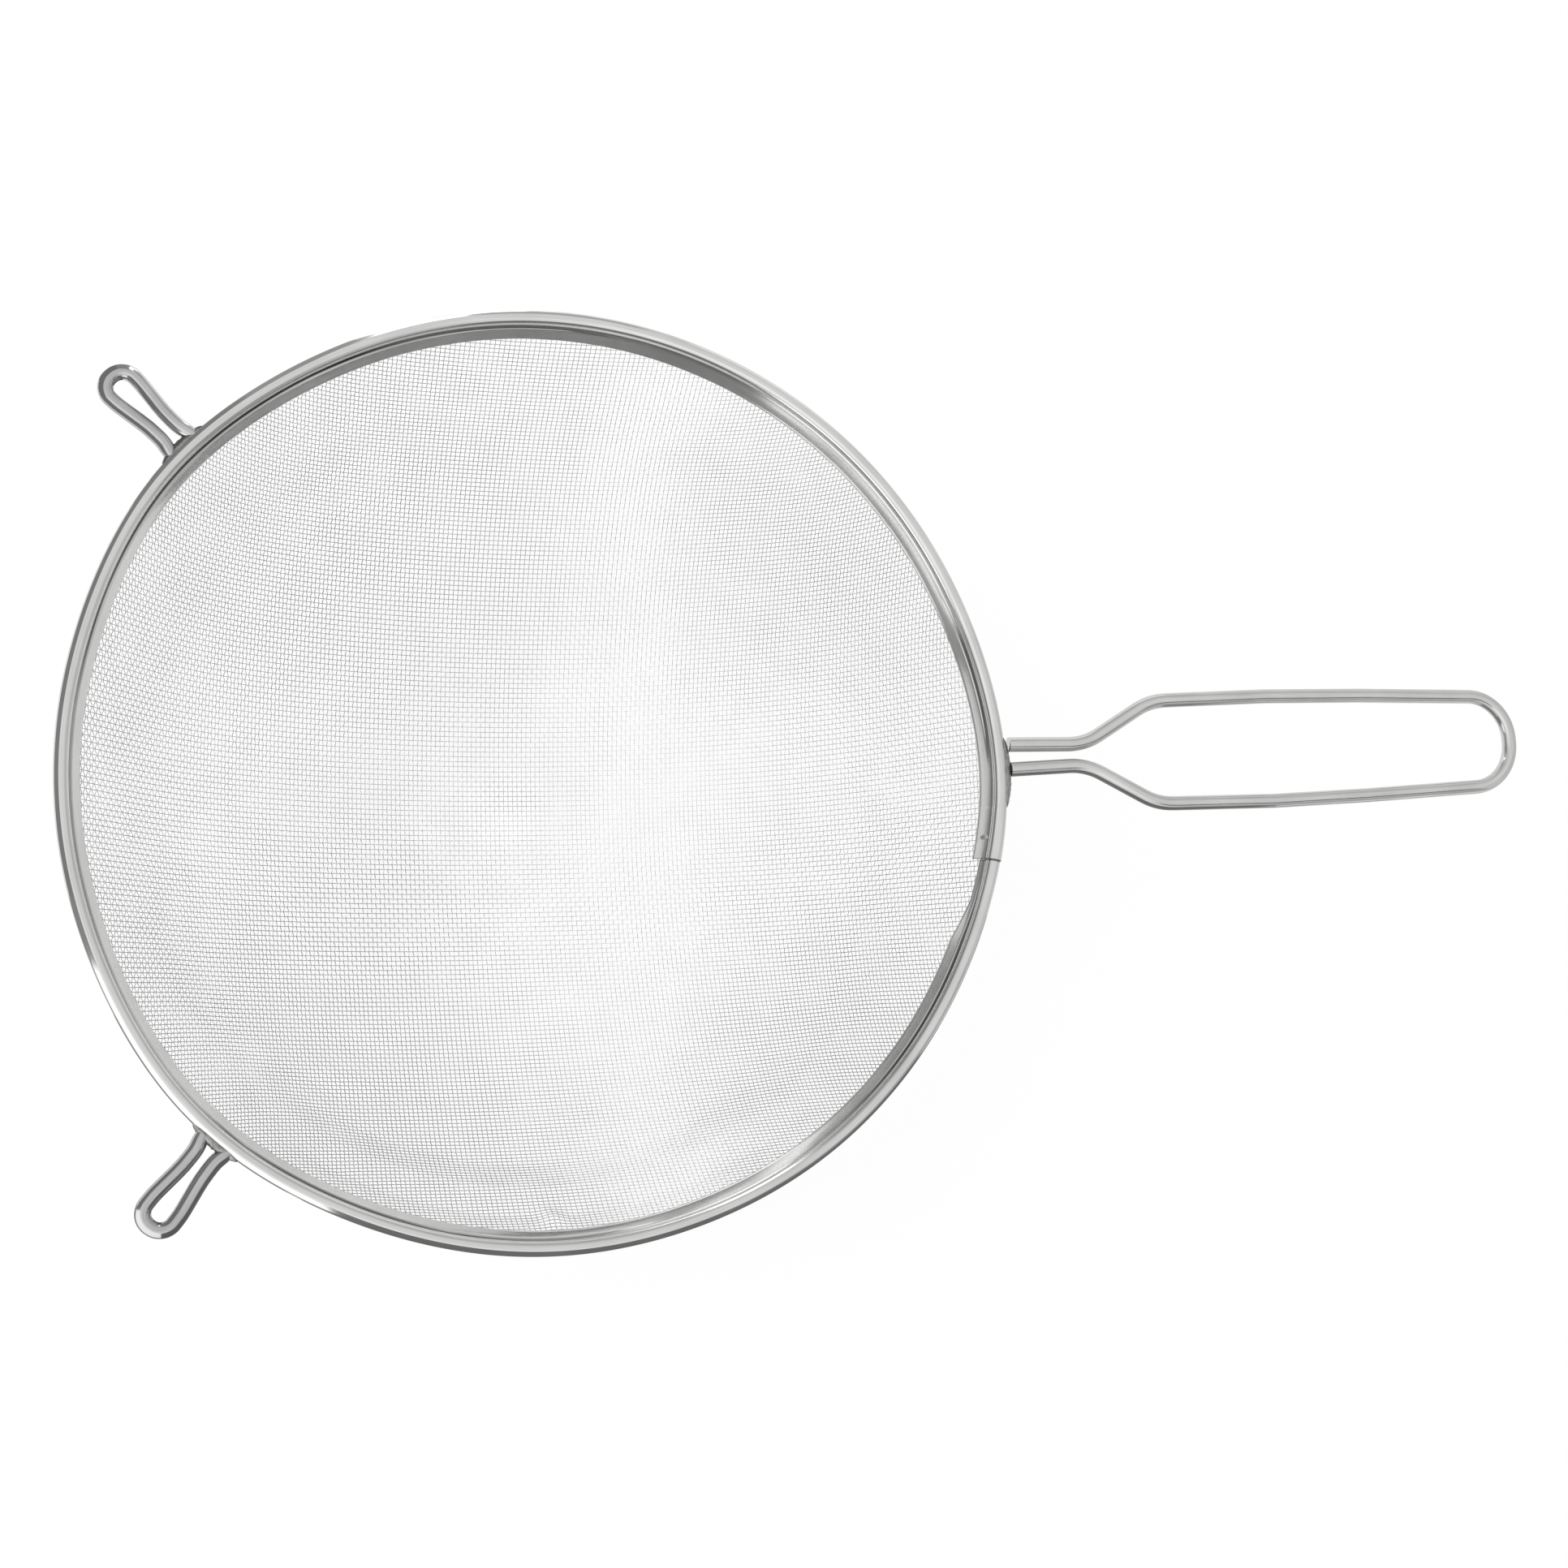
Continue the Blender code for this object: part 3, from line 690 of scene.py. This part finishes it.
handle = {
    "wire": 0.004296,
    "start": 0.0012,  # the ends stand this far off the bead, in the weld
    "reach": 0.29859,  # from the bowl's axis to the end of the loop, and so are the next distances
    "rootHalf": 0.0036,
    "neckEnd": 0.1560,
    "neckHalf": 0.00305,
    "shoulderEnd": 0.1774,
    "shoulderHalf": 0.0151,
    "bellyEnd": 0.2150,
    "bellyHalf": 0.0162,
    "tipHalf": 0.0135,
    "bend": 0.019,
    "bellyBend": 1.0,
}
hook = {
    "wire": 0.0042,
    "start": -0.0006,
    "footHalf": 0.0042,
    "footTaper": 0.0030,  # the ends are melted narrower over this length, to this share of the wire
    "footKeeps": 0.74,
    "waistStart": 0.1345,
    "waistEnd": 0.1402,
    "waistHalf": 0.00293,
    "bellyEnd": 0.1503,
    "tipHalf": 0.00430,
    "footBend": 0.011,
    "waistBend": 0.036,
    "bellyBend": 0.022,
    "right": {"angle": 136.2, "lean": -2.4, "reach": 0.1584},
    "left": {"angle": -134.9, "lean": 4.6, "reach": 0.1592},
}
bending = {
    "spacing": 0.0012,  # between the rings of a bent wire
    "closest": 0.2,  # rings nearer to each other than this share of the spacing are left out
    "arcStep": 4,  # degrees
    "sides": 40,
    "sharp": 50,
    "tipSlack": 0.0002,  # the bend at a loop's end is this much tighter than half its width
}


def rimEdge(angle):
    # the bead's outermost point at an angle in degrees
    return beadCircle + rim["bead"] / 2 + float(outOfRound(np.array([math.radians(angle)]))[0])


def roundedLine(corners):
    # a line through the corners, each (x, y, bend radius), with true arcs at its bends
    step = math.radians(bending["arcStep"])
    points = [Vector(corners[0][:2])]
    for before, corner, after in zip(corners, corners[1:], corners[2:]):
        apex = Vector(corner[:2])
        back = (Vector(before[:2]) - apex).normalized()
        onward = (Vector(after[:2]) - apex).normalized()
        turn = math.pi - back.angle(onward)
        centre = apex + (back + onward).normalized() * (corner[2] / math.cos(turn / 2))
        arm = apex + back * corner[2] * math.tan(turn / 2) - centre
        side = -1 if back.cross(onward) > 0 else 1
        steps = max(2, math.ceil(turn / step))
        for count in range(steps + 1):
            points.append(centre + Matrix.Rotation(side * turn * count / steps, 2) @ arm)
    points.append(Vector(corners[-1][:2]))
    return np.array([tuple(point) for point in points])


def evenly(line):
    # the same line with its points closer together, and how far along it each point lies
    gap = bending["spacing"]
    length = np.concatenate([[0], np.cumsum(np.linalg.norm(np.diff(line, axis=0), axis=1))])
    keep = np.unique(np.round(np.concatenate([length, np.arange(0, length[-1], gap)]), 7))
    spaced = keep[np.concatenate([[True], np.diff(keep) > gap * bending["closest"]])]
    return np.stack([np.interp(spaced, length, line[:, axis]) for axis in range(2)], axis=1), spaced


def bentWire(name, half, shape, angle, lean, material, node):
    # a loop that is the same on both sides, leaning about its foot, and set at its angle round the rim
    whole = half + [(x, -y, bend) for x, y, bend in reversed(half)]
    line, length = evenly(roundedLine(whole))
    sides, diameter = bending["sides"], shape["wire"]
    foot, tilt = half[0][0], math.radians(lean)
    out = line[:, 0] - foot
    ahead = foot + out * math.cos(tilt) - line[:, 1] * math.sin(tilt)
    aside = out * math.sin(tilt) + line[:, 1] * math.cos(tilt)
    turn = math.radians(angle)
    x = ahead * math.cos(turn) - aside * math.sin(turn)
    y = ahead * math.sin(turn) + aside * math.cos(turn)
    path = np.stack([x, y, np.full(len(x), rimHeight)], axis=1)
    rings = len(path)
    fromEnd = np.minimum(length, length[-1] - length) / shape.get("footTaper", 1e-6)
    share = np.clip(fromEnd, 0, 1)
    keeps = shape.get("footKeeps", 1)
    radius = diameter / 2 * (keeps + (1 - keeps) * share * (2 - share))
    points = ringsAlong(path, np.array([0.0, 0.0, 1.0]), radius, sides)
    faces = quadsBetween(rings, sides).tolist()
    faces.append(list(range(sides - 1, -1, -1)))
    faces.append([(rings - 1) * sides + k for k in range(sides)])
    ring = np.repeat(np.arange(rings - 1), sides)
    side = np.tile(np.arange(sides), rings - 1)
    girth = math.pi * diameter / sides
    u = np.stack([length[ring], length[ring + 1], length[ring + 1], length[ring]], axis=1)
    v = np.stack([side, side, side + 1, side + 1], axis=1) * girth
    angleAround = np.arange(sides) * 2 * math.pi / sides
    disc = np.stack([np.cos(angleAround), np.sin(angleAround)], axis=1) * diameter / 2
    uv = np.concatenate([np.stack([u, v], axis=2).reshape(-1, 2), disc[::-1], disc])
    piece = newPiece(name, points, faces, uv, sharp=bending["sharp"])
    dress(piece, material, node)


def makeHandle():
    tip = handle["reach"] - handle["wire"] / 2
    half = [
        (rimEdge(0) + handle["start"], handle["rootHalf"], 0),
        (handle["neckEnd"], handle["neckHalf"], handle["bend"]),
        (handle["shoulderEnd"], handle["shoulderHalf"], handle["bend"]),
        (handle["bellyEnd"], handle["bellyHalf"], handle["bellyBend"]),
        (tip, handle["tipHalf"], handle["tipHalf"] - bending["tipSlack"]),
    ]
    bentWire("handleWire", half, handle, 0, 0, handleSteel, "handle_wire")


def makeHook(name, side, node):
    tip = side["reach"] - hook["wire"] / 2
    half = [
        (rimEdge(side["angle"]) + hook["start"], hook["footHalf"], 0),
        (hook["waistStart"], hook["waistHalf"], hook["footBend"]),
        (hook["waistEnd"], hook["waistHalf"], hook["waistBend"]),
        (hook["bellyEnd"], hook["tipHalf"], hook["bellyBend"]),
        (tip, hook["tipHalf"], hook["tipHalf"] - bending["tipSlack"]),
    ]
    bentWire(name, half, hook, side["angle"], side["lean"], hookSteel, node)


makeHandle()
makeHook("restHookRight", hook["right"], "rest_hook_right")
makeHook("restHookLeft", hook["left"], "rest_hook_left")
print("handle and hooks bent")


# Welds

weld = {
    "thickness": 0.00155,
    "filled": 0.9,  # share of that thickness
    "sunk": 0.00025,  # its back lies this deep in the bead
    "reach": 50.0,  # degrees up and down round the bead
    "narrowed": 0.75,  # towards its ends
    "crown": (0.8, 0.6),  # how soon it swells, over the bead and along it; less is sooner
    "lumps": (0.05, 0.04),  # coarse ones and fine ones
    "handleLength": 0.0205,
    "handleAngle": -2.0,
    "hookLength": 0.0150,
}


def makeWeld(name, length, angle, node):
    # a flat lens of melted metal on the bead's outer side
    bead = rim["bead"] / 2
    steps, rows = 72, 28
    s, t = np.meshgrid(np.linspace(-1, 1, steps), np.linspace(-1, 1, rows), indexing="ij")
    around = math.radians(angle) + s * length / 2 / rimEdge(angle)
    tilt = t * math.radians(weld["reach"]) * np.sqrt(np.clip(1 - weld["narrowed"] * s**4, 0, 1))
    dome = np.clip(1 - t**2, 0, 1) ** weld["crown"][0] * np.clip(1 - s**2, 0, 1) ** weld["crown"][1]
    coarse, fine = weld["lumps"]
    lump = 1 + coarse * np.sin(s * 17 + 1) * np.cos(t * 5 + s * 6) + fine * np.sin(s * 41 + t * 9)
    front = bead + weld["thickness"] * dome * lump * weld["filled"]
    back = np.full_like(s, bead - weld["sunk"])
    layers = []
    for height in (front, back):
        radius = beadCircle + outOfRound(around) + height * np.cos(tilt)
        z = rimHeight + height * np.sin(tilt)
        layers.append(np.stack([radius * np.cos(around), radius * np.sin(around), z], axis=2))
    points = np.concatenate([layer.reshape(-1, 3) for layer in layers])
    under = steps * rows
    faces = []
    for i in range(steps - 1):
        for j in range(rows - 1):
            k = i * rows + j
            faces.append((k, k + rows, k + rows + 1, k + 1))
            faces.append((under + k, under + k + 1, under + k + rows + 1, under + k + rows))
    border = list(range(rows))
    border += [i * rows + rows - 1 for i in range(1, steps)]
    border += [(steps - 1) * rows + j for j in range(rows - 2, -1, -1)]
    border += [i * rows for i in range(steps - 2, 0, -1)]
    for here, there in zip(border, border[1:] + border[:1]):
        faces.append((here, there, under + there, under + here))
    piece = newPiece(name, points, faces)
    dress(piece, weldSteel, node)


makeWeld("handleWeld", weld["handleLength"], weld["handleAngle"], "handle_weld")
makeWeld("restHookWeldRight", weld["hookLength"], hook["right"]["angle"], "rest_hook_weld_right")
makeWeld("restHookWeldLeft", weld["hookLength"], hook["left"]["angle"], "rest_hook_weld_left")
print("welds laid")


# Floor, lamps and world

studio = {
    "floorSize": 16.0,
    "floorWhite": 0.90,
    "floorGlow": 0.82,
    "world": ((0.0, 0.50), (0.30, 0.56), (0.55, 0.68), (0.87, 0.92)),  # sine of the height above level, grey
    "brightSide": 225,  # the room is lighter over this side, by this much at most
    "brighter": 0.45,
    "brightTilt": 0.35,  # and from this far above level
    "brightFade": (0.3, 0.85),
    "keyPlace": (-0.80, 0.34, 1.20),
    "keySize": 1.2,
    "keyPower": 13,
    # Cards stand round the strainer and mats lie 0.6 mm above the table, seen only by mirror rays. The dark
    # mats are painted shade on the table round and under the bowl, and the bright ones painted light. The
    # mats reach under the bowl, and within 12 mm of its axis they lie above the mesh. Places and strengths
    # were tuned until the bands in the steel looked as in the photograph.
    # A card: from and to in plan, bottom and top, how bright.
    "cards": (
        ((-0.070, 0.260), (-0.135, 0.234), 0.0, 0.28, 0.42),
        ((-0.135, 0.234), (-0.207, 0.174), 0.0, 0.30, 0.30),
        ((-0.207, 0.174), (-0.270, 0.050), 0.06, 0.30, 0.28),
        ((-0.270, 0.050), (-0.262, -0.045), 0.06, 0.30, 0.28),
        ((-0.262, -0.045), (-0.247, -0.082), 0.0, 0.28, 0.33),
        ((-0.247, -0.082), (-0.110, -0.220), 0.0, 0.070, 0.40),
        ((-0.247, -0.082), (-0.110, -0.220), 0.070, 0.25, 1.7),
        ((-0.110, -0.220), (0.100, -0.220), 0.0, 0.25, 0.20),
        ((0.100, -0.220), (0.310, -0.200), 0.0, 0.16, 0.20),
        ((0.620, -0.260), (0.270, -0.260), 0.36, 0.48, 0.06),
        ((0.150, 0.330), (0.310, 0.330), 0.085, 0.14, 1.4),
        ((0.450, 0.170), (0.450, -0.160), 0.0, 0.30, 0.75),
        ((0.470, 0.170), (0.170, 0.470), 0.0, 0.22, 0.85),
        ((-0.073, 0.330), (-0.010, 0.330), 0.0, 0.30, 2.5),
        ((-0.010, 0.330), (0.029, 0.330), 0.0, 0.12, 2.3),
    ),
    # A mat: from and to which angle, inner and outer radius, how bright.
    # the dark mats paint shade on the table, the bright ones paint light
    "mats": (
        (240, 318, 0.150, 0.45, 0.28),
        (318, 345, 0.150, 0.24, 0.28),
        (318, 331, 0.240, 0.45, 0.30),
        (331, 345, 0.240, 0.45, 0.55),
        (205, 238, 0.128, 0.200, 0.25),
        (205, 238, 0.200, 0.240, 0.40),
        (105, 135, 0.150, 0.27, 0.50),
        (238, 345, 0.128, 0.150, 0.25),
        (195, 205, 0.128, 0.150, 0.25),
        (60, 250, 0.075, 0.128, 0.06),
        (250, 258, 0.040, 0.128, 0.60),
        (285, 345, 0.040, 0.128, 0.75),
        (75, 240, 0.030, 0.075, 0.12),
        (0, 180, 0.001, 0.030, 0.60),
        (180, 360, 0.001, 0.030, 0.80),
        (81, 93, 0.128, 0.200, 0.40),
        (81, 93, 0.200, 0.33, 1.6),
        (96, 105, 0.128, 0.33, 1.6),
        (258, 285, 0.060, 0.128, 1.5),
    ),
    "matHeight": 0.0006,
}


def makeFloor():
    half = studio["floorSize"] / 2
    corners = [(-half, -half, 0), (half, -half, 0), (half, half, 0), (-half, half, 0)]
    mesh = bpy.data.meshes.new("floor")
    mesh.from_pydata(corners, [], [(0, 1, 2, 3)])
    floor = bpy.data.objects.new("floor", mesh)
    bpy.context.scene.collection.objects.link(floor)
    material = bpy.data.materials.new("white table")
    material.use_nodes = True
    nodes, links = material.node_tree.nodes, material.node_tree.links
    nodes.clear()
    matt = nodes.new("ShaderNodeBsdfDiffuse")
    matt.inputs["Color"].default_value = (studio["floorWhite"],) * 3 + (1,)
    glow = nodes.new("ShaderNodeEmission")
    glow.inputs["Color"].default_value = (1, 1, 1, 1)
    glow.inputs["Strength"].default_value = 1
    rays = nodes.new("ShaderNodeLightPath")
    seen = nodes.new("ShaderNodeMath")
    seen.operation = "MAXIMUM"
    links.new(rays.outputs["Is Camera Ray"], seen.inputs[0])
    links.new(rays.outputs["Is Glossy Ray"], seen.inputs[1])
    seenThrough = nodes.new("ShaderNodeMath")
    seenThrough.operation = "MAXIMUM"
    links.new(seen.outputs["Value"], seenThrough.inputs[0])
    links.new(rays.outputs["Is Transmission Ray"], seenThrough.inputs[1])
    share = nodes.new("ShaderNodeMath")
    share.operation = "MULTIPLY"
    share.inputs[1].default_value = studio["floorGlow"]
    links.new(seenThrough.outputs["Value"], share.inputs[0])
    mix = nodes.new("ShaderNodeMixShader")
    links.new(share.outputs["Value"], mix.inputs["Fac"])
    links.new(matt.outputs["BSDF"], mix.inputs[1])
    links.new(glow.outputs["Emission"], mix.inputs[2])
    output = nodes.new("ShaderNodeOutputMaterial")
    links.new(mix.outputs["Shader"], output.inputs["Surface"])
    mesh.materials.append(material)


def makeLamp(name, place, size, power):
    lamp = bpy.data.lights.new(name, "AREA")
    lamp.shape = "DISK"
    lamp.size = size
    lamp.energy = power
    lampObject = bpy.data.objects.new(name, lamp)
    bpy.context.scene.collection.objects.link(lampObject)
    lampObject.location = place
    aim = Vector((0.0, 0.0, rimHeight)) - Vector(place)
    lampObject.rotation_euler = aim.to_track_quat("-Z", "Y").to_euler()
    return lampObject


def makeCard(name, corners, bright):
    mesh = bpy.data.meshes.new(name)
    mesh.from_pydata(corners, [], [tuple(range(len(corners)))])
    material = bpy.data.materials.new(name)
    material.use_nodes = True
    nodes, links = material.node_tree.nodes, material.node_tree.links
    nodes.clear()
    glow = nodes.new("ShaderNodeEmission")
    glow.inputs["Color"].default_value = (1, 1, 1, 1)
    glow.inputs["Strength"].default_value = bright
    output = nodes.new("ShaderNodeOutputMaterial")
    links.new(glow.outputs["Emission"], output.inputs["Surface"])
    mesh.materials.append(material)
    card = bpy.data.objects.new(name, mesh)
    bpy.context.scene.collection.objects.link(card)
    card.visible_camera = False
    card.visible_diffuse = False
    card.visible_shadow = False


def ringSector(start, end, inner, outer):
    steps = max(2, round((end - start) / 10))
    angles = [start + (end - start) * step / steps for step in range(steps + 1)]
    return [(inner, angle) for angle in angles] + [(outer, angle) for angle in reversed(angles)]


def setCards():
    # polished steel shows the room round it, and the mats' painted shade and light on the table; only mirror
    # rays see these
    for number, (start, end, bottom, top, bright) in enumerate(studio["cards"], 1):
        corners = [(*start, bottom), (*end, bottom), (*end, top), (*start, top)]
        makeCard(f"card{number}", corners, bright)
    # mats: dark ones painted shade on the table round and under the bowl, bright ones painted light
    for number, (start, end, inner, outer, bright) in enumerate(studio["mats"], 1):
        polar = [(radius, math.radians(angle)) for radius, angle in ringSector(start, end, inner, outer)]
        outline = [(r * math.cos(a), r * math.sin(a), studio["matHeight"]) for r, a in polar]
        makeCard(f"mat{number}", outline, bright)


def lightStudio():
    world = bpy.data.worlds.new("studio")
    bpy.context.scene.world = world
    world.use_nodes = True
    # white overhead and greyer towards the horizon, as in a room
    nodes, links = world.node_tree.nodes, world.node_tree.links
    place = nodes.new("ShaderNodeTexCoord")
    parts = nodes.new("ShaderNodeSeparateXYZ")
    links.new(place.outputs["Generated"], parts.inputs["Vector"])
    greys = nodes.new("ShaderNodeValToRGB")
    stops = greys.color_ramp.elements
    while len(stops) < len(studio["world"]):
        stops.new(0.5)
    for stop, (height, grey) in zip(stops, studio["world"]):
        stop.position = height
        stop.color = (grey, grey, grey, 1)
    links.new(parts.outputs["Z"], greys.inputs["Fac"])
    links.new(greys.outputs["Color"], nodes["Background"].inputs["Color"])
    side = nodes.new("ShaderNodeVectorMath")
    side.operation = "DOT_PRODUCT"
    turn = math.radians(studio["brightSide"])
    side.inputs[1].default_value = (math.cos(turn), math.sin(turn), studio["brightTilt"])
    links.new(place.outputs["Generated"], side.inputs[0])
    share = nodes.new("ShaderNodeMapRange")
    share.interpolation_type = "SMOOTHSTEP"
    share.inputs["From Min"].default_value = studio["brightFade"][0]
    share.inputs["From Max"].default_value = studio["brightFade"][1]
    share.inputs["To Min"].default_value = 1
    share.inputs["To Max"].default_value = 1 + studio["brighter"]
    links.new(side.outputs["Value"], share.inputs["Value"])
    links.new(share.outputs["Result"], nodes["Background"].inputs["Strength"])
    key = makeLamp("keyLamp", studio["keyPlace"], studio["keySize"], studio["keyPower"])
    # the satin wires take the lamp's light; on the polished rim and hooks it would be a hard line
    lit = bpy.data.collections.new("lit by the key lamp")
    for piece in bpy.data.objects:
        if piece.name.startswith(("floor", "lengthwise", "crosswise")):
            lit.objects.link(piece)
    key.light_linking.receiver_collection = lit
    setCards()
    bpy.context.scene.view_settings.view_transform = "Standard"


makeFloor()
lightStudio()
print("studio lit")
